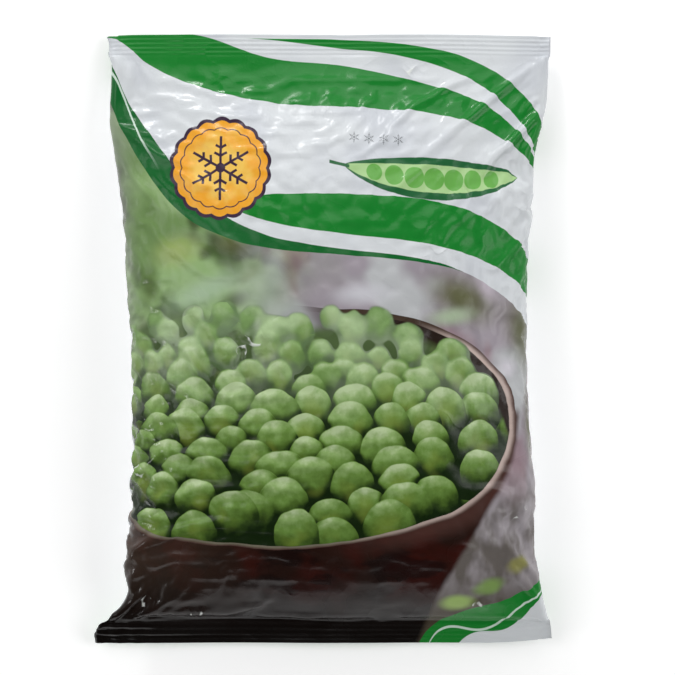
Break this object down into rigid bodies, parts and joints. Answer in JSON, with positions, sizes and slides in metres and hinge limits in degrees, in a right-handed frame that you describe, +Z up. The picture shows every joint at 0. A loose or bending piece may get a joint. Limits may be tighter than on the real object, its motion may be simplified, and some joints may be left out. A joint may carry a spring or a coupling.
{
  "type": "frozen vegetable bag",
  "caption": "Filled pillow bag of frozen peas in printed plastic film, lying on its back, with crimped end seals.",
  "frame": {"origin": "under the middle of the bag, on the plane that its back lies on", "axes": "+Z up out of the printed front, +Y towards the top seal, +X towards the right side of the print"},
  "size_m": [0.2068, 0.278, 0.056],
  "materials": {
    "printed_film": "glossy printed polyethylene film: white and green header, picture of peas in a dark bowl"
  },
  "bodies": {
    "root": {"bag": "printed_film"}
  },
  "joints": []
}
